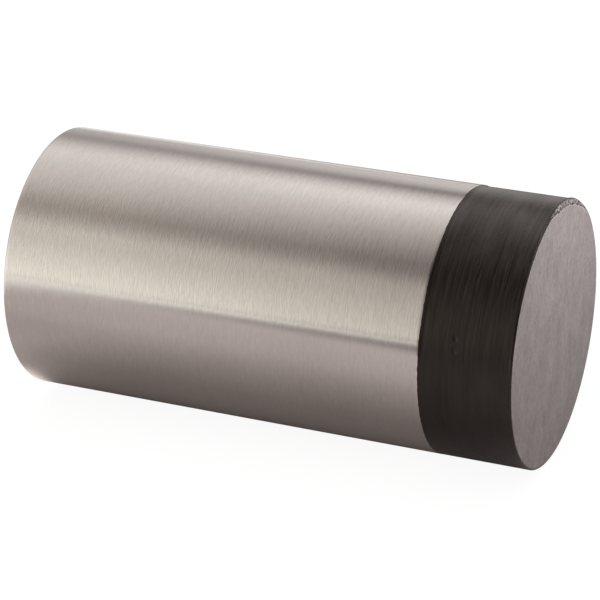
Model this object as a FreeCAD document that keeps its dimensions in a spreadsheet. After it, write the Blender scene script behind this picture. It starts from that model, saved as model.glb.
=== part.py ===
import FreeCAD, Part
import os
import re

import Sketcher
from FreeCAD import Placement, Rotation, Vector

# Wall-mounted cylinder door stop, concealed fixing, in millimetres.
#
# Row frame: the origin is the centre of the wall face, the wall is the plane Y = 0, the stop
# reaches out along -Y, and +Z is up. A "station" is a distance from the wall along the axis.
# Each turned piece is drawn about its own Z axis from its own back face. Its placement then turns
# Z to point away from the wall, so a piece's own -Y side is the underside of the stop.

NEAR = 1e-4  # edges whose centre and radius agree this closely are the same rim

doc = FreeCAD.newDocument("door_stop")
sheet = doc.addObject("Spreadsheet::Sheet", "Sizes")

# ---------------------------------------------------------------- driving dimensions

sizes = {
    # whole stop
    "overall_length": 76,
    "outer_diameter": 38,
    "edge_break": 0.3,
    # tube
    "tube_wall": 2,
    "tube_lead_in": 0.5,
    # mounting base, a turned cup inside the tube
    "base_clearance": 0.1,
    "base_depth": 14,
    "base_floor": 4.5,
    "base_skirt": 4.5,
    "base_lead_in": 1,
    "base_flat_height": 14.7,
    "base_flat_start": 4,
    "back_rim": 2.6,
    "back_land": 9.4,
    "back_relief": 1.2,
    "back_corner": 1.5,
    # countersunk holes for the wall screws
    "screw_spacing": 16,
    "screw_hole": 4.5,
    "screw_head": 8.4,
    # set screw that locks the tube to the base
    "grub_station": 8,
    "grub_diameter": 5,
    "grub_length": 4,
    "grub_pitch": 0.8,
    "grub_key": 2.5,
    "grub_key_depth": 2.2,
    "grub_tip": 3.5,
    "grub_cup": 2.5,
    "grub_cup_depth": 0.6,
    "tip_gap": 0.05,
    # threads, their depth and groove width as parts of the pitch
    "thread_gap": 0.05,
    "thread_depth": 0.6,
    "thread_width": 0.9,
    # bulkhead that carries the buffer
    "bulkhead_thickness": 5,
    "bulkhead_hole": 6.6,
    # rubber buffer: the head outside the tube, the spigot inside it
    "buffer_head": 13,
    "buffer_spigot": 10,
    "buffer_round": 0.3,
    "spigot_gap": 0.2,
    "insert_gap": 0.1,
    # steel plate and stud that the rubber is moulded round
    "plate_diameter": 30,
    "plate_thickness": 2,
    "stud_diameter": 6,
    "stud_pitch": 1,
    "stud_tail": 38,
    "stud_tail_chamfer": 0.6,
    "stud_head": 12,
    "stud_head_thickness": 1.2,
    # nut and washers behind the bulkhead
    "washer_diameter": 12,
    "washer_hole": 6.4,
    "washer_thickness": 1.6,
    "spring_diameter": 11,
    "spring_hole": 6.2,
    "spring_thickness": 1.6,
    "spring_split": 0.8,
    "nut_flats": 10,
    "nut_thickness": 5,
    "nut_chamfer": 0.5,
}

for row, (name, number) in enumerate(sizes.items(), start=1):
    sheet.set("A%d" % row, name)
    sheet.set("B%d" % row, str(number))
    sheet.setAlias("B%d" % row, name)
doc.recompute()

# Sizes that follow from the driving dimensions, as expressions in their names.
OUTER_RADIUS = "(outer_diameter / 2)"
BORE_RADIUS = "(outer_diameter / 2 - tube_wall)"
BASE_RADIUS = "(outer_diameter / 2 - tube_wall - base_clearance)"
TUBE_FRONT = "(overall_length - buffer_head)"
BULKHEAD_FRONT = "(overall_length - buffer_head - buffer_spigot)"
BULKHEAD_BACK = "(overall_length - buffer_head - buffer_spigot - bulkhead_thickness)"
WASHER_BACK = "(%s - washer_thickness)" % BULKHEAD_BACK
SPRING_BACK = "(%s - spring_thickness)" % WASHER_BACK
NUT_BACK = "(%s - nut_thickness)" % SPRING_BACK

# ---------------------------------------------------------------- helpers


def bound(expression):
    """The expression with the sheet's name put before each of its cells."""
    words = r"[a-z_]+"
    return re.sub(words, lambda word: ("Sizes." if word[0] in sizes else "") + word[0], expression)


def value(expression):
    """The present value of an expression, in millimetres."""
    return float(sheet.evalExpression(bound(expression)))


def new_body(label, station):
    """An empty body about the stop's axis, whose back face lies at the station."""
    body = doc.addObject("PartDesign::Body", label)
    body.Label = label
    body.Placement = Placement(Vector(0, 0, 0), Rotation(Vector(1, 0, 0), 90))
    body.setExpression("Placement.Base.y", bound("-1 * %s" % station))
    return body


def new_sketch(body, role, offset="0"):
    """A sketch on the body's own origin plane, moved along that plane's normal by the offset."""
    plane = [feature for feature in body.Origin.OriginFeatures if feature.Role == role][0]
    sketch = body.newObject("Sketcher::SketchObject", body.Name + "_sketch")
    sketch.AttachmentSupport = [(plane, "")]
    sketch.MapMode = "FlatFace"
    sketch.setExpression("AttachmentOffset.Base.z", bound(offset))
    return sketch


def hold(sketch, kind, *where):
    """A dimension whose last argument is the expression that drives it."""
    number = sketch.addConstraint(Sketcher.Constraint(kind, *where[:-1], value(where[-1])))
    sketch.setExpression("Constraints[%d]" % number, bound(where[-1]))


def hold_point(sketch, geometry, end, across, along):
    """Both coordinates of one point of the sketch."""
    hold(sketch, "DistanceX", -1, 1, geometry, end, across)
    hold(sketch, "DistanceY", -1, 1, geometry, end, along)


def add_polygon(sketch, corners):
    """A closed outline with straight sides, each corner a pair of expressions."""
    first = sketch.GeometryCount
    places = [Vector(value(across), value(along), 0) for across, along in corners]
    for start, end in zip(places, places[1:] + places[:1]):
        sketch.addGeometry(Part.LineSegment(start, end))
    for index, (across, along) in enumerate(corners):
        following = first + (index + 1) % len(corners)
        sketch.addConstraint(Sketcher.Constraint("Coincident", first + index, 2, following, 1))
        hold_point(sketch, first + index, 1, across, along)


def add_circle(sketch, across, along, radius):
    """A full circle with its centre and radius bound."""
    centre = Vector(value(across), value(along), 0)
    circle = sketch.addGeometry(Part.Circle(centre, Vector(0, 0, 1), value(radius)))
    hold_point(sketch, circle, 3, across, along)
    hold(sketch, "Radius", circle, radius)


def add_segment(sketch, radius, height, side):
    """The part of a disc past a chord at the height, above (side 1) or below (side -1) centre."""
    reach = "sqrt(%s ^ 2 - %s ^ 2)" % (radius, height)
    left = Vector(-value(reach), side * value(height), 0)
    right = Vector(value(reach), side * value(height), 0)
    crown = Vector(0, side * value(radius), 0)
    chord = sketch.addGeometry(Part.LineSegment(left, right))
    arc = sketch.addGeometry(Part.Arc(right, crown, left))
    # a sketch keeps every arc anticlockwise, so the lower one starts at the left
    start, end = (1, 2) if side > 0 else (2, 1)
    sketch.addConstraint(Sketcher.Constraint("Coincident", arc, 3, -1, 1))
    sketch.addConstraint(Sketcher.Constraint("Coincident", chord, 2, arc, start))
    sketch.addConstraint(Sketcher.Constraint("Coincident", chord, 1, arc, end))
    sketch.addConstraint(Sketcher.Constraint("Horizontal", chord))
    hold(sketch, "Radius", arc, radius)
    hold(sketch, "DistanceY", -1, 1, chord, 1, "%d * %s" % (side, height))


def revolve(body, corners, kind="Revolution"):
    """The corners, given as radius and distance from the back face, turned about the axis."""
    sketch = new_sketch(body, "XZ_Plane")
    add_polygon(sketch, corners)
    feature = body.newObject("PartDesign::" + kind, body.Name + "_" + kind)
    feature.Profile = sketch
    feature.ReferenceAxis = (sketch, ["V_Axis"])
    feature.Angle = 360
    doc.recompute()
    return feature


def pocket(body, sketch, depth=None, reverse=False):
    """A cut against the sketch's normal, or along it if reversed, right through if no depth."""
    feature = body.newObject("PartDesign::Pocket", body.Name + "_pocket")
    feature.Profile = sketch
    feature.Reversed = reverse
    if depth:
        feature.setExpression("Length", bound(depth))
    else:
        feature.Type = "ThroughAll"
    doc.recompute()
    return feature


def is_rim(edge, radius, distance):
    """Whether the edge runs round the body's axis at that radius and distance from the back."""
    if not isinstance(edge.Curve, Part.Circle):
        return False
    same_size = abs(edge.Curve.Radius - value(radius)) < NEAR
    return same_size and abs(edge.Curve.Center.z - value(distance)) < NEAR


def rims(body, *places):
    """The names of the body's circular edges at each pair of radius and distance from the back."""
    return [
        "Edge%d" % number
        for number, edge in enumerate(body.Tip.Shape.Edges, start=1)
        if any(is_rim(edge, radius, distance) for radius, distance in places)
    ]


def dress(body, kind, names, amount):
    """A chamfer or a fillet on the named edges."""
    feature = body.newObject("PartDesign::" + kind, body.Name + "_" + kind)
    feature.Base = (feature.BaseFeature, names)
    feature.setExpression("Size" if kind == "Chamfer" else "Radius", bound(amount))
    doc.recompute()


def thread(body, radius, pitch, start, length):
    """V-shaped rings at the thread's pitch, standing in for its helix."""
    turns = int(value(length) / value(pitch))
    root = "(%s - thread_depth * %s)" % (radius, pitch)
    outside = "(%s + thread_gap)" % radius
    middle = "(%s + %s / 2 + thread_gap)" % (start, pitch)
    half_width = "(thread_width * %s / 2)" % pitch
    notch = [
        (root, middle),
        (outside, "%s + %s" % (middle, half_width)),
        (outside, "%s - %s" % (middle, half_width)),
    ]
    groove = revolve(body, notch, "Groove")
    pattern = body.newObject("PartDesign::LinearPattern", body.Name + "_thread")
    pattern.Originals = [groove]
    pattern.Direction = (groove.Profile[0], ["V_Axis"])
    pattern.setExpression("Length", bound("%d * %s" % (turns - 1, pitch)))
    pattern.Occurrences = turns
    body.Tip = pattern
    doc.recompute()


def hexagon(flats):
    """The corners of a hexagon of that width across its flats, one corner on the X axis."""
    point = "%s / sqrt(3)" % flats
    half = "%s / 2" % flats
    return [
        (point, "0"),
        (point + " / 2", half),
        ("-1 * %s / 2" % point, half),
        ("-1 * %s" % point, "0"),
        ("-1 * %s / 2" % point, "-1 * %s" % half),
        (point + " / 2", "-1 * %s" % half),
    ]


def ring(label, station, hole, outside, thickness):
    """A body holding a flat ring, given by its two radii and its thickness."""
    body = new_body(label, station)
    revolve(body, [(hole, "0"), (outside, "0"), (outside, thickness), (hole, thickness)])
    return body


# ---------------------------------------------------------------- the pieces


def make_mounting_base():
    """The cup screwed to the wall: floor, skirt, screw holes and a flat for the set screw."""
    body = new_body("mounting_base", "0")
    inside = "(%s - base_skirt)" % BASE_RADIUS
    cup = [
        ("0", "0"),
        (BASE_RADIUS, "0"),
        (BASE_RADIUS, "base_depth"),
        (inside, "base_depth"),
        (inside, "base_floor"),
        ("0", "base_floor"),
    ]
    revolve(body, cup)
    dress(body, "Chamfer", rims(body, (BASE_RADIUS, "base_depth")), "base_lead_in")
    dress(body, "Chamfer", rims(body, (BASE_RADIUS, "0"), (inside, "base_depth")), "edge_break")

    holes = new_sketch(body, "XY_Plane")
    for side in (-1, 1):
        add_circle(holes, "%d * screw_spacing / 2" % side, "0", "screw_hole / 2")
    pocket(body, holes, reverse=True)
    countersinks = rims(body, ("screw_hole / 2", "base_floor"))
    dress(body, "Chamfer", countersinks, "(screw_head - screw_hole) / 2")

    # The flat runs out at the front, so the tube slides off over it with the screw in place.
    flat = new_sketch(body, "XY_Plane", "base_flat_start")
    left = "-1 * %s" % OUTER_RADIUS
    below = "-1 * %s" % OUTER_RADIUS
    level = "-1 * base_flat_height"
    add_polygon(flat, [(left, below), (OUTER_RADIUS, below), (OUTER_RADIUS, level), (left, level)])
    pocket(body, flat, reverse=True)

    # Relief in the wall face, so that it bears on its rim and on the land between the screws.
    relief = new_sketch(body, "XY_Plane")
    for side in (-1, 1):
        add_segment(relief, "(%s - back_rim)" % BASE_RADIUS, "(back_land / 2)", side)
    pocket(body, relief, "back_relief", reverse=True)
    corners = [
        "Edge%d" % number
        for number, edge in enumerate(body.Tip.Shape.Edges, start=1)
        if isinstance(edge.Curve, Part.Line) and abs(edge.Length - value("back_relief")) < NEAR
    ]
    dress(body, "Fillet", corners, "back_corner")


def make_outer_tube():
    """The visible tube, open at both ends, with the tapped hole in its underside."""
    body = new_body("outer_tube", "0")
    wall = [
        (BORE_RADIUS, "0"),
        (OUTER_RADIUS, "0"),
        (OUTER_RADIUS, TUBE_FRONT),
        (BORE_RADIUS, TUBE_FRONT),
    ]
    revolve(body, wall)
    outside = rims(body, (OUTER_RADIUS, "0"), (OUTER_RADIUS, TUBE_FRONT))
    dress(body, "Chamfer", outside, "edge_break")
    dress(body, "Chamfer", rims(body, (BORE_RADIUS, "0")), "tube_lead_in")
    tapping = new_sketch(body, "XZ_Plane")
    add_circle(tapping, "0", "grub_station", "grub_diameter / 2 + thread_gap")
    pocket(body, tapping, reverse=True)


def make_grub_screw():
    """The set screw, drawn outwards from its cup point, which stands just off the base's flat."""
    body = new_body("grub_screw", "grub_station")
    body.Placement = Placement(Vector(0, 0, 0), Rotation(Vector(1, 0, 0), 180))
    body.setExpression("Placement.Base.z", bound("-1 * (base_flat_height + tip_gap)"))
    body.setExpression("Placement.Base.y", bound("-1 * grub_station"))
    point_chamfer = "((grub_diameter - grub_tip) / 2)"
    shank = [
        ("0", "grub_cup_depth"),
        ("grub_cup / 2", "0"),
        ("grub_tip / 2", "0"),
        ("grub_diameter / 2", point_chamfer),
        ("grub_diameter / 2", "grub_length"),
        ("0", "grub_length"),
    ]
    revolve(body, shank)
    dress(body, "Chamfer", rims(body, ("grub_diameter / 2", "grub_length")), "edge_break")
    threaded = "grub_length - edge_break - " + point_chamfer
    thread(body, "grub_diameter / 2", "grub_pitch", point_chamfer, threaded)
    key = new_sketch(body, "XY_Plane", "grub_length")
    add_polygon(key, hexagon("grub_key"))
    pocket(body, key, "grub_key_depth")


def make_bulkhead():
    """The steel disc fixed in the tube's bore, which the buffer's stud passes through."""
    body = ring("bulkhead", BULKHEAD_BACK, "bulkhead_hole / 2", BORE_RADIUS, "bulkhead_thickness")
    edges = rims(body, (BORE_RADIUS, "0"), (BORE_RADIUS, "bulkhead_thickness"))
    dress(body, "Chamfer", edges, "edge_break")


def make_rubber_buffer():
    """The moulded rubber: head, spigot and, from the back, the pockets for plate and stud."""
    body = new_body("rubber_buffer", BULKHEAD_FRONT)
    spigot = "(%s - spigot_gap)" % BORE_RADIUS
    plate = "(plate_diameter / 2 + insert_gap)"
    head = "(stud_head / 2 + insert_gap)"
    head_seat = "(plate_thickness + stud_head_thickness)"
    strike = "(buffer_spigot + buffer_head)"
    rubber = [
        (plate, "0"),
        (spigot, "0"),
        (spigot, "buffer_spigot"),
        (OUTER_RADIUS, "buffer_spigot"),
        (OUTER_RADIUS, strike),
        ("0", strike),
        ("0", head_seat),
        (head, head_seat),
        (head, "plate_thickness"),
        (plate, "plate_thickness"),
    ]
    revolve(body, rubber)
    dress(body, "Fillet", rims(body, (OUTER_RADIUS, strike)), "buffer_round")


def make_bonded_plate():
    """The steel plate in the back of the rubber, flat against the bulkhead."""
    hole = "(stud_diameter / 2 + thread_gap)"
    body = ring("bonded_plate", BULKHEAD_FRONT, hole, "plate_diameter / 2", "plate_thickness")
    edges = rims(body, ("plate_diameter / 2", "0"), ("plate_diameter / 2", "plate_thickness"))
    dress(body, "Chamfer", edges, "edge_break")


def make_buffer_stud():
    """The headed stud through plate and bulkhead, drawn from its threaded tail."""
    body = new_body("buffer_stud", "stud_tail")
    under_head = "(%s + plate_thickness - stud_tail)" % BULKHEAD_FRONT
    top = "(%s + stud_head_thickness)" % under_head
    stud = [
        ("0", "0"),
        ("stud_diameter / 2", "0"),
        ("stud_diameter / 2", under_head),
        ("stud_head / 2", under_head),
        ("stud_head / 2", top),
        ("0", top),
    ]
    revolve(body, stud)
    dress(body, "Chamfer", rims(body, ("stud_diameter / 2", "0")), "stud_tail_chamfer")
    dress(body, "Chamfer", rims(body, ("stud_head / 2", top)), "edge_break")
    threaded = "%s - stud_tail - stud_tail_chamfer" % BULKHEAD_BACK
    thread(body, "stud_diameter / 2", "stud_pitch", "stud_tail_chamfer", threaded)


def make_plain_washer():
    """The flat washer against the back of the bulkhead."""
    half = "washer_diameter / 2"
    body = ring("plain_washer", WASHER_BACK, "washer_hole / 2", half, "washer_thickness")
    dress(body, "Chamfer", rims(body, (half, "0"), (half, "washer_thickness")), "edge_break")


def make_spring_washer():
    """The lock washer, pressed flat, with its slanting split."""
    half = "spring_diameter / 2"
    body = ring("spring_washer", SPRING_BACK, "spring_hole / 2", half, "spring_thickness")
    split = new_sketch(body, "XZ_Plane")
    slanting = [
        ("-1 * spring_split", "0"),
        ("0", "0"),
        ("spring_split", "spring_thickness"),
        ("0", "spring_thickness"),
    ]
    add_polygon(split, slanting)
    pocket(body, split)


def make_buffer_nut():
    """The hexagon nut, with both ends turned off at thirty degrees."""
    body = new_body("buffer_nut", NUT_BACK)
    flats = new_sketch(body, "XY_Plane")
    add_polygon(flats, hexagon("nut_flats"))
    bar = body.newObject("PartDesign::Pad", "buffer_nut_bar")
    bar.Profile = flats
    bar.setExpression("Length", bound("nut_thickness"))
    doc.recompute()
    inner = "nut_flats / 2"
    outer = "nut_flats"
    fall = "nut_flats / 2 * tan(30 deg)"
    for face, foot in (("0", fall), ("nut_thickness", "nut_thickness - " + fall)):
        revolve(body, [(inner, face), (outer, face), (outer, foot)], "Groove")
    bore = "stud_diameter / 2 + thread_gap"
    hole = new_sketch(body, "XY_Plane")
    add_circle(hole, "0", "0", bore)
    pocket(body, hole, reverse=True)
    dress(body, "Chamfer", rims(body, (bore, "0"), (bore, "nut_thickness")), "nut_chamfer")


make_mounting_base()
make_outer_tube()
make_grub_screw()
make_bulkhead()
make_rubber_buffer()
make_bonded_plate()
make_buffer_stud()
make_plain_washer()
make_spring_washer()
make_buffer_nut()
doc.recompute()

# ---------------------------------------------------------------- checks, then the files

CUTS = (
    "PartDesign::Pocket",
    "PartDesign::Groove",
    "PartDesign::Chamfer",
    "PartDesign::LinearPattern",
)
pieces = [obj for obj in doc.Objects if obj.TypeId == "PartDesign::Body"]

for obj in doc.Objects:
    if "Invalid" in obj.State or "Error" in obj.State:
        raise RuntimeError("%s failed to compute: %s" % (obj.Label, obj.State))
    if obj.TypeId == "Sketcher::SketchObject" and not obj.FullyConstrained:
        raise RuntimeError("%s is not fully constrained" % obj.Label)
    if obj.TypeId.startswith(CUTS) and obj.Shape.Volume > obj.BaseFeature.Shape.Volume - NEAR:
        raise RuntimeError("%s removes nothing" % obj.Label)

for piece in pieces:
    if piece.Shape.isNull() or not piece.Shape.isValid() or len(piece.Shape.Solids) != 1:
        raise RuntimeError("%s is not one valid solid" % piece.Label)

os.makedirs("parts", exist_ok=True)
for piece in pieces:
    piece.Shape.exportStep("parts/%s.step" % piece.Label)
    box = piece.Shape.BoundBox
    print(
        "%-16s volume %8.1f mm3, X %.2f..%.2f, Y %.2f..%.2f, Z %.2f..%.2f"
        % (piece.Label, piece.Shape.Volume, box.XMin, box.XMax, box.YMin, box.YMax, box.ZMin, box.ZMax)
    )
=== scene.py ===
"""Looks for the wall-mounted cylinder door stop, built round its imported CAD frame, in metres.

The stop lies along Y: its wall face is at Y = 0, its strike face at the lowest Y, and +Z is up.
"Around" means an angle about the stop's axis, from 0 at the top towards -X, the camera's side.
"""

import math

import bmesh
import bpy
from mathutils import Matrix, Vector, noise


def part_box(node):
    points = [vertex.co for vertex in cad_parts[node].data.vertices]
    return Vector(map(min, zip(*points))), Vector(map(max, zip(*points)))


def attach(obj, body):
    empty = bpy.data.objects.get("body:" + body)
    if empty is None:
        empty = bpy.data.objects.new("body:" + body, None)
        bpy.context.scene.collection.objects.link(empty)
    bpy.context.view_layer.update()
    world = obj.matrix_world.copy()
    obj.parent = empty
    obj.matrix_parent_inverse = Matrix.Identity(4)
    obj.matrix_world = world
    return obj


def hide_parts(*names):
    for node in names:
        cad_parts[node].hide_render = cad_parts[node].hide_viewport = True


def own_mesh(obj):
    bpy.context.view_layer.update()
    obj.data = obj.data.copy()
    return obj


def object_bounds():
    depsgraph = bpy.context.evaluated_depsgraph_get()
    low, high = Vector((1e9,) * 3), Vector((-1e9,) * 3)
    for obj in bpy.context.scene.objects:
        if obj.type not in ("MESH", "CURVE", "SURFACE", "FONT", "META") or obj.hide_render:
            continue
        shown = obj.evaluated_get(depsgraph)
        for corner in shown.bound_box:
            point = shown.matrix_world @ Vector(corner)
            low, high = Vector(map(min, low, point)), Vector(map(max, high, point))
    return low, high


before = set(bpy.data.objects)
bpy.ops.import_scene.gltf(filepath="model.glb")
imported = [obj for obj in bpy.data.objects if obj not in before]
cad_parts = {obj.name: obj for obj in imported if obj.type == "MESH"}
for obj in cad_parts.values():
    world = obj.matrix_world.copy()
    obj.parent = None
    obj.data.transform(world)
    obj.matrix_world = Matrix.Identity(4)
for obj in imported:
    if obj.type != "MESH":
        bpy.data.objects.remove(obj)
cad_low, cad_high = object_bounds()

MM = 0.001

# ---------------------------------------------------------------- sizes read from the frame

tube_low, tube_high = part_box("outer_tube")
rubber_low, rubber_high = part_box("rubber_buffer")
plate_low, plate_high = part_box("bonded_plate")
stud_low, stud_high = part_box("buffer_stud")
_, bulkhead_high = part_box("bulkhead")
grub_low, grub_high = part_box("grub_screw")

OUTER = tube_high.x
BORE = bulkhead_high.x
WALL_Y = tube_high.y
SEAM_Y = tube_low.y
STRIKE_Y = rubber_low.y
SPIGOT_Y = rubber_high.y

# ---------------------------------------------------------------- camera

VIEW_FORWARD = Vector((0.8480, 0.3622, -0.3870))
CAMERA_PLACE = Vector((-317.6, -173.4, 143.8)) * MM
LENS = 157.0
SENSOR_WIDTH = 36


def make_camera():
    data = bpy.data.cameras.new("camera")
    data.lens = LENS
    data.sensor_width = SENSOR_WIDTH
    data.clip_start = 0.01
    data.clip_end = 20
    camera = bpy.data.objects.new("camera", data)
    bpy.context.scene.collection.objects.link(camera)
    camera.location = CAMERA_PLACE
    camera.rotation_mode = "QUATERNION"
    camera.rotation_quaternion = VIEW_FORWARD.to_track_quat("-Z", "Y")
    bpy.context.scene.camera = camera


# ---------------------------------------------------------------- node helpers


def add(tree, kind, **settings):
    """A new node, its properties set by name, and its input sockets by name or number."""
    node = tree.nodes.new(kind)
    for key, setting in settings.items():
        if key == "inputs":
            for socket, given in setting.items():
                if isinstance(given, bpy.types.NodeSocket):
                    tree.links.new(given, node.inputs[socket])
                else:
                    node.inputs[socket].default_value = given
        else:
            setattr(node, key, setting)
    return node


def maths(tree, operation, first, second=0.0, clamp=False):
    node = add(
        tree,
        "ShaderNodeMath",
        operation=operation,
        use_clamp=clamp,
        inputs={0: first, 1: second},
    )
    return node.outputs[0]


def product(tree, given, *factors):
    for factor in factors:
        given = maths(tree, "MULTIPLY", given, factor)
    return given


def total(tree, given, *others):
    for other in others:
        given = maths(tree, "ADD", given, other)
    return given


def between(tree, given, low, high, to_low=0.0, to_high=1.0, smooth=False):
    """The given value, from low..high to to_low..to_high, held at the ends."""
    kind = "SMOOTHSTEP" if smooth else "LINEAR"
    node = add(
        tree,
        "ShaderNodeMapRange",
        interpolation_type=kind,
        inputs={0: given, 1: low, 2: high, 3: to_low, 4: to_high},
    )
    return node.outputs[0]


def mix_colour(tree, factor, first, second, blend="MIX"):
    node = add(tree, "ShaderNodeMix", data_type="RGBA", blend_type=blend)
    for socket, given in ((0, factor), (6, first), (7, second)):
        if isinstance(given, bpy.types.NodeSocket):
            tree.links.new(given, node.inputs[socket])
        elif socket == 0:
            node.inputs[socket].default_value = given
        else:
            node.inputs[socket].default_value = (*given, 1.0)
    return node.outputs[2]


def grey(tree, level):
    node = add(tree, "ShaderNodeCombineColor", inputs={0: level, 1: level, 2: level})
    return node.outputs[0]


def shaded(tree, colour, level):
    """The colour, as much lighter or darker as the level says."""
    return mix_colour(tree, 1.0, colour, grey(tree, level), "MULTIPLY")


def ramp(tree, factor, stops):
    """A colour ramp through the stops, each a place and a colour."""
    node = tree.nodes.new("ShaderNodeValToRGB")
    tree.links.new(factor, node.inputs[0])
    elements = node.color_ramp.elements
    while len(elements) < len(stops):
        elements.new(1.0)
    for element, (place, colour) in zip(elements, stops):
        element.position = place
        element.color = (*colour, 1.0)
    return node.outputs[0]


def mix_shader(tree, factor, first, second):
    node = add(tree, "ShaderNodeMixShader", inputs={0: factor})
    tree.links.new(first.outputs[0], node.inputs[1])
    tree.links.new(second.outputs[0], node.inputs[2])
    return node


def own_place(tree):
    """A point's x, y and z in the piece's own coordinates."""
    where = add(tree, "ShaderNodeTexCoord").outputs["Object"]
    return add(tree, "ShaderNodeSeparateXYZ", inputs={0: where}).outputs


def noise_at(tree, scale, detail=2.0, roughness=0.5, where=None):
    """Noise in the piece's own coordinates: scale is how many features fit in a metre, per axis."""
    if where is None:
        where = add(tree, "ShaderNodeTexCoord").outputs["Object"]
    stretched = add(tree, "ShaderNodeMapping", inputs={"Vector": where, "Scale": scale})
    node = add(
        tree,
        "ShaderNodeTexNoise",
        inputs={
            "Vector": stretched.outputs[0],
            "Scale": 1.0,
            "Detail": detail,
            "Roughness": roughness,
        },
    )
    return node.outputs[0]


# ---------------------------------------------------------------- world

WHITE = (1.0, 1.0, 1.0, 1.0)

# Each row is an angle about the stop's axis, from straight up towards the camera's side, and the
# light that the metal finds there: first as the wall end sees it, then as the rubber end does.
ROOM_BANDS = (
    (-100, 0.50, 0.74),  # pale wall on the far side
    (-88, 0.50, 0.71),
    (-78, 0.56, 0.88),
    (-68, 0.48, 0.74),
    (-59, 0.62, 0.26),  # dark corner under the ceiling
    (-48, 0.86, 0.86),
    (-37, 1.04, 1.24),  # ceiling
    (-27, 1.04, 1.12),
    (-17, 1.04, 0.84),
    (-6, 1.06, 0.58),
    (4, 1.02, 0.34),
    (14, 0.88, 0.18),
    (25, 0.74, 0.06),  # dark gap over the window
    (34, 0.94, 0.02),
    (45, 1.27, 0.18),
    (56, 1.22, 0.36),
    (75, 1.56, 0.40),  # window
    (87, 1.70, 0.48),
    (90, 1.80, 0.24),  # its sill
    (95, 1.80, 0.24),
)
BANDS_TOP = 2.0  # the light that a full ramp stands for

# Directions along the stop, from the rubber end's view to the wall end's.
RUBBER_END_VIEW = 0.30
WALL_END_VIEW = 0.46

SKY_COLOUR = (1.0, 0.99, 0.98, 1.0)
SKY_LIGHT = (0.5, 1.1)  # at the horizon, and overhead


def room_light(tree, angle, along):
    """How bright the banded room is, as a part of BANDS_TOP: half as bright nearly end on."""
    around = between(tree, angle, -math.pi, math.pi)
    stops = [
        ((degrees + 180) / 360, (wall_end / BANDS_TOP, rubber_end / BANDS_TOP, 0))
        for degrees, wall_end, rubber_end in ROOM_BANDS
    ]
    ends = add(tree, "ShaderNodeSeparateColor", inputs={0: ramp(tree, around, stops)})
    to_wall = between(tree, along, RUBBER_END_VIEW, WALL_END_VIEW)
    sides = add(tree, "ShaderNodeMix", inputs={0: to_wall, 2: ends.outputs[1], 3: ends.outputs[0]})
    end_on = between(tree, maths(tree, "ABSOLUTE", along), 0.62, 0.96, 1.0, 0.5)
    return product(tree, sides.outputs[0], end_on)


def room_tint(tree, angle, lit):
    """The room's colour: warmer at the window than overhead, and whiter where it is bright."""
    bright = between(tree, lit, 0.0, 0.7)
    overhead = mix_colour(tree, bright, (1.0, 0.89, 0.88), (1.0, 1.0, 0.98))
    window = mix_colour(tree, bright, (1.0, 0.85, 0.80), (1.0, 0.985, 0.895))
    to_window = between(tree, angle, math.radians(-25), math.radians(25))
    return mix_colour(tree, to_window, overhead, window)


def make_world():
    """A room in bands for the metal, an even sky for all that is matt, and white for the eye."""
    world = bpy.data.worlds.new("room")
    bpy.context.scene.world = world
    world.use_nodes = True
    tree = world.node_tree
    tree.nodes.clear()
    direction = add(tree, "ShaderNodeTexCoord").outputs["Generated"]
    across, along, up = add(tree, "ShaderNodeSeparateXYZ", inputs={0: direction}).outputs
    angle = maths(tree, "ARCTAN2", product(tree, across, -1.0), up)
    lit = room_light(tree, angle, along)
    coloured = shaded(tree, room_tint(tree, angle, lit), lit)
    banded = add(tree, "ShaderNodeBackground", inputs={0: coloured, 1: BANDS_TOP})
    overhead = between(tree, up, 0.0, 1.0, *SKY_LIGHT)
    even = add(tree, "ShaderNodeBackground", inputs={0: SKY_COLOUR, 1: overhead})
    white = add(tree, "ShaderNodeBackground", inputs={0: WHITE, 1: 1.0})
    path = add(tree, "ShaderNodeLightPath")
    soft = mix_shader(tree, path.outputs["Is Diffuse Ray"], banded, even)
    seen = mix_shader(tree, path.outputs["Is Camera Ray"], soft, white)
    out = tree.nodes.new("ShaderNodeOutputWorld")
    tree.links.new(seen.outputs[0], out.inputs[0])


# ---------------------------------------------------------------- floor and light

FLOOR_RADIUS = 1.2
FLOOR_GAP = 0.02 * MM  # below the stop
FLOOR_COLOUR = (0.12, 0.12, 0.12, 1.0)
FLOOR_LIFT = 0.93  # the floor's own light, which makes it near white
MAT_COLOUR = (0.64, 0.582, 0.576)
MAT_END = 45 * MM  # behind the wall face, on the stop's axis
MAT_SLANT = 0.12  # how much further back the mat ends for each metre to the side
# colour of the paper beyond the mat, which glows as a painted light
BEYOND_GLOW_COLOUR = (1.0, 0.99, 0.93, 1.0)

FACE_BOX_SIZE = 50 * MM
FACE_BOX_POWER = 0.25
FACE_BOX_PLACE = (18 * MM, STRIKE_Y - 40 * MM, 60 * MM)
FACE_BOX_TARGET = (0, STRIKE_Y, 12 * MM)


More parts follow.
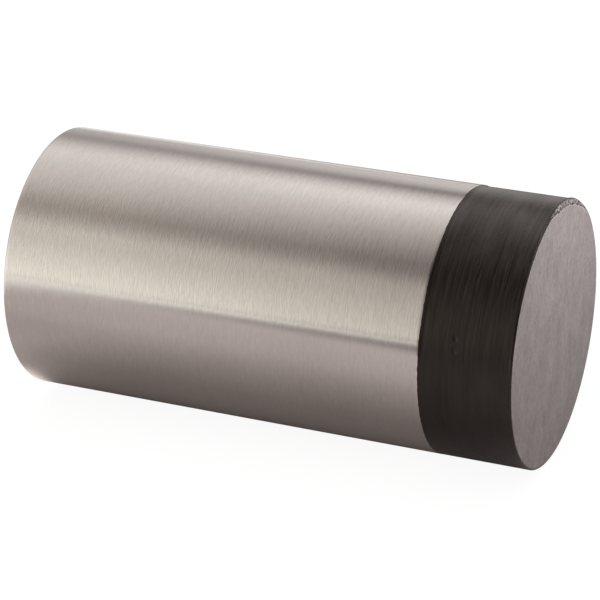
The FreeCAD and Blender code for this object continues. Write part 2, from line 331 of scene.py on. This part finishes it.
def painted_mat_light(tree, aside, along, away):
    """Painted light and shade on the mat at X = aside and Y = along, away being the distance from
    the axis: a painted shadow beside the stop, painted bounce light under it, lighter further out,
    darker towards the far front corners and a little on the other side, and painted light in front
    of the strike face and past the wall end.
    """
    # painted shadow of the stop on the mat, darkest near its axis
    beside = between(tree, away, 13 * MM, 51 * MM, 0.60, 1.0, smooth=True)
    # painted bounce light just under the stop
    beneath = between(tree, away, 8 * MM, 18 * MM, 0.18, 0.0)
    outward = between(tree, away, 50 * MM, 120 * MM, 1.10, 1.20)
    far_front = maths(tree, "SUBTRACT", away, product(tree, along, 0.6))
    # painted falloff, darker towards the far front corners
    corners = between(tree, far_front, 130 * MM, 230 * MM, 1.0, 0.22)
    # painted light on the mat in front of the strike face
    front = between(tree, along, STRIKE_Y + 17 * MM, STRIKE_Y + 6 * MM, 1.0, 1.32)
    other_side = between(tree, aside, 30 * MM, 90 * MM, 1.0, 0.95)
    under = total(tree, beside, beneath)
    light = product(tree, under, product(tree, outward, corners), front, other_side)
    # painted light past the wall end, where the stop's shadow ends
    past_wall_end = between(tree, along, -2 * MM, 3 * MM)
    end_light = product(tree, past_wall_end, between(tree, away, 8 * MM, 13.5 * MM, 3.1, 0.85))
    # painted light along the last part of the stop before the wall end
    near_wall_end = between(tree, along, -18 * MM, 2 * MM, 0.0, 0.18)
    glow = product(tree, near_wall_end, between(tree, away, 26 * MM, 38 * MM, 1.0, 0.0))
    return total(tree, maths(tree, "MAXIMUM", light, end_light), glow)


def beyond_light(tree, aside, along):
    """How brightly the paper beyond the mat glows, a painted light: more so further back, less on
    the other side.
    """
    back = total(tree, along, product(tree, aside, 0.25))
    deeper = between(tree, back, -10 * MM, 70 * MM, 1.05, 1.34)
    return product(tree, deeper, between(tree, aside, 50 * MM, 150 * MM, 1.0, 0.8))


def floor_material():
    """Pale paper, near white to the eye. What the stop reflects in its place is a quieter mat with
    painted shade round the stop, which ends behind the wall end, and brighter paper beyond it that
    glows as a painted light."""
    material = bpy.data.materials.new("pale_floor")
    material.use_nodes = True
    tree = material.node_tree
    tree.nodes.clear()
    aside, along, _ = own_place(tree)
    away = maths(tree, "ABSOLUTE", aside)
    # the mat's colour with painted shade and light round the stop
    painted_mat_colour = shaded(tree, MAT_COLOUR, painted_mat_light(tree, aside, along, away))
    mat = add(tree, "ShaderNodeBsdfDiffuse", inputs={0: painted_mat_colour})
    light = beyond_light(tree, aside, along)
    # the paper beyond the mat glows: painted light
    beyond = add(tree, "ShaderNodeEmission", inputs={0: BEYOND_GLOW_COLOUR, 1: light})
    reach = maths(tree, "SUBTRACT", along, product(tree, away, MAT_SLANT))
    past_mat = between(tree, reach, MAT_END - 0.5 * MM, MAT_END + 0.5 * MM)
    reflected = mix_shader(tree, past_mat, mat, beyond)
    pale = add(tree, "ShaderNodeBsdfDiffuse", inputs={0: FLOOR_COLOUR})
    lift = add(tree, "ShaderNodeEmission", inputs={0: WHITE, 1: FLOOR_LIFT})
    seen = tree.nodes.new("ShaderNodeAddShader")
    tree.links.new(pale.outputs[0], seen.inputs[0])
    tree.links.new(lift.outputs[0], seen.inputs[1])
    path = add(tree, "ShaderNodeLightPath")
    both = mix_shader(tree, path.outputs["Is Camera Ray"], reflected, seen)
    out = tree.nodes.new("ShaderNodeOutputMaterial")
    tree.links.new(both.outputs[0], out.inputs[0])
    return material


def make_floor():
    mesh = bpy.data.meshes.new("floor")
    shape = bmesh.new()
    bmesh.ops.create_circle(shape, cap_ends=True, segments=48, radius=FLOOR_RADIUS)
    shape.to_mesh(mesh)
    shape.free()
    floor = bpy.data.objects.new("floor", mesh)
    floor.location = (0, 0, cad_low.z - FLOOR_GAP)
    mesh.materials.append(floor_material())
    bpy.context.scene.collection.objects.link(floor)


def light_strike_face(rubber):
    """A small soft box above the strike face, which lights the rubber alone and isn't reflected."""
    data = bpy.data.lights.new("face_box", "AREA")
    data.shape = "SQUARE"
    data.size = FACE_BOX_SIZE
    data.energy = FACE_BOX_POWER
    light = bpy.data.objects.new("face_box", data)
    light.visible_glossy = False
    light.location = FACE_BOX_PLACE
    aim = Vector(FACE_BOX_TARGET) - Vector(FACE_BOX_PLACE)
    light.rotation_mode = "QUATERNION"
    light.rotation_quaternion = aim.to_track_quat("-Z", "Y")
    bpy.context.scene.collection.objects.link(light)
    lit = bpy.data.collections.new("face_box_reach")
    lit.objects.link(rubber)
    light.light_linking.receiver_collection = lit


# ---------------------------------------------------------------- materials

# The darkest and the lightest colour of each skin.
STEEL_TONES = (0.558, 0.530, 0.505), (0.657, 0.623, 0.595)
SIDE_TONES = (0.0006, 0.0005, 0.0005), (0.0110, 0.0092, 0.0084)
SHOULDER_STREAK_TONES = (0, 0, 0), (0.0170, 0.0145, 0.0135)
FACE_TONES = (0.080, 0.0706, 0.0696), (0.098, 0.0864, 0.0858)
TORN_TONES = (0.026, 0.0230, 0.0225), (0.077, 0.0684, 0.0674)

BRUSHED_DEPTH = (0.010 * MM, 0.021 * MM)  # of the steel's streaks, at the rubber end and wall end


def new_material(name):
    """A node material with its Principled shader ready."""
    material = bpy.data.materials.new(name)
    material.use_nodes = True
    tree = material.node_tree
    shader = [node for node in tree.nodes if node.type == "BSDF_PRINCIPLED"][0]
    return material, tree, shader


def dress(tree, shader, base, rough, height, depth, strength=1.0):
    """Links colour, roughness and bump to the shader. The bump's depth is in metres."""
    bump = add(
        tree,
        "ShaderNodeBump",
        inputs={"Strength": strength, "Distance": depth, "Height": height},
    )
    tree.links.new(base, shader.inputs["Base Color"])
    tree.links.new(rough, shader.inputs["Roughness"])
    tree.links.new(bump.outputs[0], shader.inputs["Normal"])


def satin_steel():
    """Stainless brushed round its circumference: short fine streaks, cut a little deeper towards
    the wall end, and highlights drawn out lengthways."""
    material, tree, shader = new_material("satin_stainless")
    fine = noise_at(tree, (800, 5200, 800), detail=2.0, roughness=0.65)
    coarse = noise_at(tree, (220, 2600, 220), detail=3.0, roughness=0.65)
    cloud = noise_at(tree, (60, 90, 60), detail=2.0)
    streaks = total(tree, product(tree, fine, 0.65), product(tree, coarse, 0.35))
    base = mix_colour(tree, between(tree, streaks, 0.32, 0.68), *STEEL_TONES)
    base = shaded(tree, base, between(tree, cloud, 0.3, 0.7, 0.975, 1.025))
    rough = between(tree, coarse, 0.3, 0.7, 0.155, 0.20)
    _, along, _ = own_place(tree)
    depth = between(tree, along, SEAM_Y, WALL_Y, *BRUSHED_DEPTH)
    dress(tree, shader, base, rough, streaks, depth)
    shader.inputs["Metallic"].default_value = 1.0
    shader.inputs["Anisotropic"].default_value = 1.0
    shader.inputs["Anisotropic Rotation"].default_value = 0.25
    tangent = add(tree, "ShaderNodeTangent", direction_type="RADIAL", axis="Y")
    tree.links.new(tangent.outputs[0], shader.inputs["Tangent"])
    return material


def with_shoulder_streaks(tree, base):
    """The colour, turned into dark streaks along the rubber's -X shoulder."""
    aside, _, up = own_place(tree)
    outward = between(tree, aside, -14 * MM, -10 * MM, 1.0, 0.0, smooth=True)
    upward = between(tree, up, 0.0, 4 * MM, smooth=True)
    lines = noise_at(tree, (150, 3400, 150), detail=3.0, roughness=0.7)
    streaked = mix_colour(tree, between(tree, lines, 0.40, 0.75), *SHOULDER_STREAK_TONES)
    return mix_colour(tree, product(tree, outward, upward), base, streaked)


def rubber_side():
    """Black rubber trimmed on a lathe: dark, faintly warm, with fine turning marks and grit, and
    a darker, streaked stretch along its -X shoulder."""
    material, tree, shader = new_material("rubber_side")
    marks = noise_at(tree, (90, 3000, 90), detail=3.0, roughness=0.7)
    patches = noise_at(tree, (130, 420, 130), detail=3.0)
    grit = noise_at(tree, (2200, 3600, 2200), detail=1.0)
    tint = between(tree, total(tree, marks, patches), 0.75, 1.25)
    tint = maths(tree, "ADD", tint, between(tree, grit, 0.3, 0.7, -0.15, 0.15), clamp=True)
    base = with_shoulder_streaks(tree, mix_colour(tree, tint, *SIDE_TONES))
    rough = between(tree, marks, 0.3, 0.7, 0.28, 0.32)
    height = total(tree, marks, product(tree, patches, 0.5))
    dress(tree, shader, base, rough, height, 0.005 * MM, strength=0.7)
    shader.inputs["Specular IOR Level"].default_value = 0.45
    shader.inputs["Specular Tint"].default_value = (1.0, 0.845, 0.775, 1.0)
    return material


def rubber_face():
    """The strike face: the same rubber, buffed to a dusty grey with faint upright scratches."""
    material, tree, shader = new_material("rubber_face")
    scratches = noise_at(tree, (1900, 60, 620), detail=3.0, roughness=0.65)
    patches = noise_at(tree, (330, 160, 230), detail=4.0, roughness=0.6)
    speckle = noise_at(tree, (2300, 60, 2300), detail=2.0)
    base = mix_colour(tree, between(tree, patches, 0.3, 0.7), *FACE_TONES)
    lines = between(tree, scratches, 0.35, 0.65, 0.90, 1.10)
    dots = between(tree, speckle, 0.35, 0.65, 0.92, 1.08)
    base = shaded(tree, base, product(tree, lines, dots))
    rough = between(tree, scratches, 0.3, 0.7, 0.62, 0.78)
    dress(tree, shader, base, rough, scratches, 0.010 * MM, strength=0.6)
    shader.inputs["Specular IOR Level"].default_value = 0.3
    return material


def rubber_torn():
    """The torn lip at the face's edge: a crumbly mix of black and grey."""
    material, tree, shader = new_material("rubber_torn")
    crumbs = noise_at(tree, (2100, 2100, 2100), detail=3.0, roughness=0.6)
    base = mix_colour(tree, between(tree, crumbs, 0.42, 0.58), *TORN_TONES)
    rough = between(tree, crumbs, 0.3, 0.7, 0.60, 0.80)
    dress(tree, shader, base, rough, crumbs, 0.03 * MM, strength=0.8)
    shader.inputs["Specular IOR Level"].default_value = 0.3
    return material


def turned_metal(name, dark, light, roughness):
    """Lathe-turned metal: fine rings about the stop's axis, with a little cloudiness."""
    material, tree, shader = new_material(name)
    across, along, up = own_place(tree)
    spoke = add(tree, "ShaderNodeCombineXYZ", inputs={0: across, 1: up})
    length = add(tree, "ShaderNodeVectorMath", operation="LENGTH", inputs={0: spoke.outputs[0]})
    radius = length.outputs["Value"]
    ring_place = add(tree, "ShaderNodeCombineXYZ", inputs={0: radius, 1: along})
    rings = noise_at(tree, (5000, 5000, 1), detail=3.0, roughness=0.6, where=ring_place.outputs[0])
    cloud = noise_at(tree, (200, 200, 200), detail=3.0)
    base = mix_colour(tree, between(tree, rings, 0.3, 0.7), dark, light)
    base = shaded(tree, base, between(tree, cloud, 0.3, 0.7, 0.92, 1.04))
    rough = between(tree, cloud, 0.3, 0.7, roughness - 0.05, roughness + 0.08)
    dress(tree, shader, base, rough, rings, 0.003 * MM)
    shader.inputs["Metallic"].default_value = 1.0
    return material


def plated_metal(name, dark, light, roughness):
    """Plated or plain fastener metal: small patches of tone and a faint grain."""
    material, tree, shader = new_material(name)
    patches = noise_at(tree, (900, 900, 900), detail=4.0, roughness=0.6)
    grain = noise_at(tree, (5000, 5000, 5000), detail=2.0)
    base = mix_colour(tree, between(tree, patches, 0.3, 0.7), dark, light)
    rough = between(tree, patches, 0.3, 0.7, roughness - 0.06, roughness + 0.08)
    dress(tree, shader, base, rough, grain, 0.002 * MM, strength=0.6)
    shader.inputs["Metallic"].default_value = 1.0
    return material


# ---------------------------------------------------------------- meshes


def lathe(name, profile, segments, materials, wear=None):
    """A turned mesh. The profile's (radius, y, material) points run in a loop, or from axis to
    axis. wear, if given, moves each point and picks its material."""
    mesh = bpy.data.meshes.new(name)
    shape = bmesh.new()
    rows = []
    for radius, y, material in profile:
        if radius == 0:
            rows.append([(shape.verts.new((0, y, 0)), material)] * segments)
            continue
        line = []
        for step in range(segments):
            turn = 2 * math.pi * step / segments
            worn = wear(radius, y, turn, material) if wear else (radius, y, material)
            place = (-worn[0] * math.sin(turn), worn[1], worn[0] * math.cos(turn))
            line.append((shape.verts.new(place), worn[2]))
        rows.append(line)
    after = rows[1:] + rows[:1] if profile[0][0] else rows[1:]
    for line, following in zip(rows, after):
        for step in range(segments):
            beside = (step + 1) % segments
            corners = (line[step], line[beside], following[beside], following[step])
            face = shape.faces.new(dict.fromkeys(vert for vert, _ in corners))
            face.material_index = line[step][1]
            face.smooth = True
    bmesh.ops.recalc_face_normals(shape, faces=shape.faces)
    shape.to_mesh(mesh)
    shape.free()
    mesh.set_sharp_from_angle(angle=math.radians(40))
    for material in materials:
        mesh.materials.append(material)
    piece = bpy.data.objects.new(name, mesh)
    bpy.context.scene.collection.objects.link(piece)
    return piece


def arc(centre_r, centre_y, size, start, end, steps, material=0):
    """Profile points round an edge; angles in degrees from +radius towards -Y."""
    points = []
    for step in range(steps + 1):
        turn = math.radians(start + (end - start) * step / steps)
        radius = centre_r + size * math.cos(turn)
        points.append((radius, centre_y - size * math.sin(turn), material))
    return points


def run(start, end, steps, material=0):
    """Profile points along a straight line, its end left out."""
    return [
        (
            start[0] + (end[0] - start[0]) * step / steps,
            start[1] + (end[1] - start[1]) * step / steps,
            material,
        )
        for step in range(steps)
    ]


def cut_hole(piece, centre, radius, depth):
    """Drills a round hole down -Z, by a boolean that is applied."""
    data = bpy.data.meshes.new("drill")
    shape = bmesh.new()
    bmesh.ops.create_cone(
        shape,
        cap_ends=True,
        segments=64,
        radius1=radius,
        radius2=radius,
        depth=depth,
        matrix=Matrix.Translation(centre),
    )
    shape.to_mesh(data)
    shape.free()
    drill = bpy.data.objects.new("drill", data)
    bpy.context.scene.collection.objects.link(drill)
    cutter = piece.modifiers.new("hole", "BOOLEAN")
    cutter.object = drill
    cutter.solver = "EXACT"
    bpy.context.view_layer.update()
    graph = bpy.context.evaluated_depsgraph_get()
    result = bpy.data.meshes.new_from_object(piece.evaluated_get(graph))
    piece.modifiers.clear()
    piece.data = result
    bpy.data.objects.remove(drill)
    bpy.data.meshes.remove(data)


TUBE_SEGMENTS = 360
TUBE_EDGE = 0.3 * MM  # rounding of the tube's outer rims
TUBE_LEAD = 0.5 * MM  # chamfer inside its open end
TAP_CLEARANCE = 0.05 * MM  # round the set screw
DRILL_LENGTH = 6 * MM  # longer than the wall is thick


def make_tube():
    """The visible tube: a thin wall with rounded rims and the tapped hole in its underside."""
    rim = OUTER - TUBE_EDGE
    profile = []
    profile += run((BORE, WALL_Y - TUBE_LEAD), (BORE + TUBE_LEAD, WALL_Y), 1)
    profile += run((BORE + TUBE_LEAD, WALL_Y), (rim, WALL_Y), 1)
    profile += arc(rim, WALL_Y - TUBE_EDGE, TUBE_EDGE, -90, 0, 5)
    profile += run((OUTER, WALL_Y - 2 * TUBE_EDGE), (OUTER, SEAM_Y + 2 * TUBE_EDGE), 8)
    profile += [(OUTER, SEAM_Y + 2 * TUBE_EDGE, 0)]
    profile += arc(rim, SEAM_Y + TUBE_EDGE, TUBE_EDGE, 0, 90, 5)
    profile += run((BORE, SEAM_Y), (BORE, WALL_Y - TUBE_LEAD), 6)
    tube = lathe("tube_shell", profile, TUBE_SEGMENTS, [satin_steel()])
    middle = (grub_low + grub_high) / 2
    tapping = (grub_high.x - grub_low.x) / 2 + TAP_CLEARANCE
    cut_hole(tube, Vector((0, middle.y, -(OUTER + BORE) / 2)), tapping, DRILL_LENGTH)
    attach(tube, "sleeve")
    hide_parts("outer_tube")


SIDE, FACE, TORN = 0, 1, 2  # the rubber's finishes
RUBBER_SEGMENTS = 600
RIM = 0.3 * MM  # rounding round the strike face
FACE_BAND = 1.6 * MM  # outer part of the strike face, finely divided for the torn lip
POCKET_CLEARANCE = 0.1 * MM  # round the insert's plate and stud
SPIGOT_CLEARANCE = 0.2 * MM  # inside the tube
FLASH = 0.19 * MM  # how far the rubber laps the tube's rounded rim, give or take its raggedness
FLASH_RAGGED = 0.08 * MM
FLASH_SPACING = 0.7 * MM
OFF_CENTRE = 0.06 * MM  # the side is turned a little off the tube's axis, flush below
MARK_PITCH = 0.55 * MM  # turning marks
MARK_LENGTH = 9 * MM
MARK_DEPTH = 0.010 * MM
NICKS = ((74, 8.2), (79, 8.2))  # degrees from the top, and millimetres from the strike face
NICK_SIZE = 0.28 * MM
NICK_SLANT = 0.4
NICK_DEPTH = 0.10 * MM
LIP_PLACE = math.radians(-14)  # the torn lip at the top of the strike face
LIP_REACH = math.radians(24)
LIP_WIDTH = 0.85 * MM
LIP_SPACING = 1.2 * MM  # of the wander in its width
LIP_CREASE = 0.09 * MM
CREASE_WIDTH = 0.12 * MM
LIP_CHIP = 0.22 * MM
CHIP_SPACING = 0.25 * MM
LIP_BACK = 0.26 * MM  # how far the tear has taken the rim back
CLEARLY_TORN = 0.15  # where the lip's own finishes start, from 0 at its ends to 1 in its middle


def rough_at(y, turn, spacing_along, spacing_around):
    """Smooth noise on the rubber's skin, -1 to 1, with its spacing along and around."""
    spread = OUTER / spacing_around
    across, up = spread * math.sin(turn), spread * math.cos(turn)
    return noise.noise(Vector((y / spacing_along, across, up)))


def nicked(y, turn):
    """How deep in a nick a point of the side lies, 0 to 1."""
    depth = 0
    for degrees, back in NICKS:
        across = OUTER * (turn - math.radians(degrees))
        along = y - STRIKE_Y - back * MM + NICK_SLANT * across
        depth += math.exp(-((across / NICK_SIZE) ** 2) - (along / (0.6 * NICK_SIZE)) ** 2)
    return min(depth, 1)


def rubber_wear(radius, y, turn, material):
    """Turning marks and nicks on the side, a ragged seam, and the lip torn at the face's top."""
    aside = math.remainder(turn - LIP_PLACE, 2 * math.pi)
    torn = math.exp(-((aside / LIP_REACH) ** 4))
    inset = OUTER - radius
    if y > SEAM_Y:
        return radius, y, material
    if y == SEAM_Y:
        if inset == 0:
            y += FLASH + FLASH_RAGGED * rough_at(0, turn, 1, FLASH_SPACING)
        return radius, y, material
    chip = max(0, 0.2 + rough_at(y + radius, turn, CHIP_SPACING, 1.4 * CHIP_SPACING)) * torn
    if inset == 0:
        mark = 0.5 + 0.5 * rough_at(y, turn, MARK_PITCH, MARK_LENGTH)
        near_rim = max(0, 1 - (y - STRIKE_Y) / (4 * RIM))
        y += LIP_BACK * torn * max(0, 1 - (y - STRIKE_Y - RIM) / (8 * RIM))
        radius -= MARK_DEPTH * mark + 0.5 * LIP_CHIP * chip * near_rim
        radius -= OFF_CENTRE * (1 + math.cos(turn)) + NICK_DEPTH * nicked(y, turn)
        return radius, y, material
    width = LIP_WIDTH * torn * (1 + 0.25 * rough_at(0, turn, 1, LIP_SPACING))
    y += LIP_BACK * torn * max(0, 1 - inset / LIP_WIDTH)
    if inset > RIM / 4:
        off_crease = (inset - width) / CREASE_WIDTH
        crease = torn * math.exp(-off_crease**2)
        y += LIP_CREASE * crease
        if inset < width:
            y += LIP_CHIP * chip
        if torn > CLEARLY_TORN and RIM / 3 < inset < width:
            material = TORN
        # The crease takes the dark side rubber: painted shade in the groove.
        if torn > CLEARLY_TORN and abs(off_crease) < 0.6 and chip < 0.45:
            material = SIDE
    return radius, y, material


def make_rubber():
    """The rubber: spigot with the insert's pockets, turned side, and buffed strike face."""
    plate = plate_high.x + POCKET_CLEARANCE
    plate_y = plate_low.y
    head = stud_high.x + POCKET_CLEARANCE
    head_y = stud_low.y
    spigot = BORE - SPIGOT_CLEARANCE
    lapped = TUBE_EDGE * (1 - math.sqrt(0.5))
    profile = []
    profile += run((0, head_y), (head, head_y), 1, SIDE)
    profile += run((head, head_y), (head, plate_y), 1, SIDE)
    profile += run((head, plate_y), (plate, plate_y), 2, SIDE)
    profile += run((plate, plate_y), (plate, SPIGOT_Y), 1, SIDE)
    profile += run((plate, SPIGOT_Y), (spigot, SPIGOT_Y), 1, SIDE)
    profile += run((spigot, SPIGOT_Y), (spigot, SEAM_Y), 4, SIDE)
    profile += run((spigot, SEAM_Y), (OUTER - TUBE_EDGE, SEAM_Y), 1, SIDE)
    profile += [(OUTER - TUBE_EDGE, SEAM_Y, SIDE), (OUTER - lapped, SEAM_Y + lapped, SIDE)]
    profile += run((OUTER, SEAM_Y), (OUTER, STRIKE_Y + RIM), 60, SIDE)
    profile += arc(OUTER - RIM, STRIKE_Y + RIM, RIM, 0, 90, 6, SIDE)[:-1]
    profile += run((OUTER - RIM, STRIKE_Y), (OUTER - FACE_BAND, STRIKE_Y), 13, FACE)
    profile += run((OUTER - FACE_BAND, STRIKE_Y), (0, STRIKE_Y), 12, FACE)
    profile += [(0, STRIKE_Y, FACE)]
    materials = [rubber_side(), rubber_face(), rubber_torn()]
    rubber = lathe("rubber_head", profile, RUBBER_SEGMENTS, materials, rubber_wear)
    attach(rubber, "sleeve")
    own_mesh(rubber)
    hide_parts("rubber_buffer")
    return rubber


def paint_cad_nodes():
    aluminium = turned_metal("turned_aluminium", (0.60, 0.60, 0.61), (0.72, 0.72, 0.73), 0.34)
    steel = turned_metal("turned_steel", (0.46, 0.45, 0.44), (0.58, 0.57, 0.56), 0.36)
    screw = plated_metal("fastener_stainless", (0.46, 0.45, 0.44), (0.56, 0.55, 0.54), 0.32)
    zinc = plated_metal("zinc_plated_steel", (0.60, 0.61, 0.62), (0.70, 0.71, 0.73), 0.26)
    finish = {
        "mounting_base": aluminium,
        "bulkhead": steel,
        "grub_screw": screw,
        "bonded_plate": zinc,
        "buffer_stud": zinc,
        "plain_washer": zinc,
        "spring_washer": zinc,
        "buffer_nut": zinc,
    }
    for name, material in finish.items():
        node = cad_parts[name]
        for place in node.material_slots:
            place.material = material


make_camera()
make_world()
make_floor()
make_tube()
light_strike_face(make_rubber())
paint_cad_nodes()
bpy.context.scene.view_settings.view_transform = "Standard"
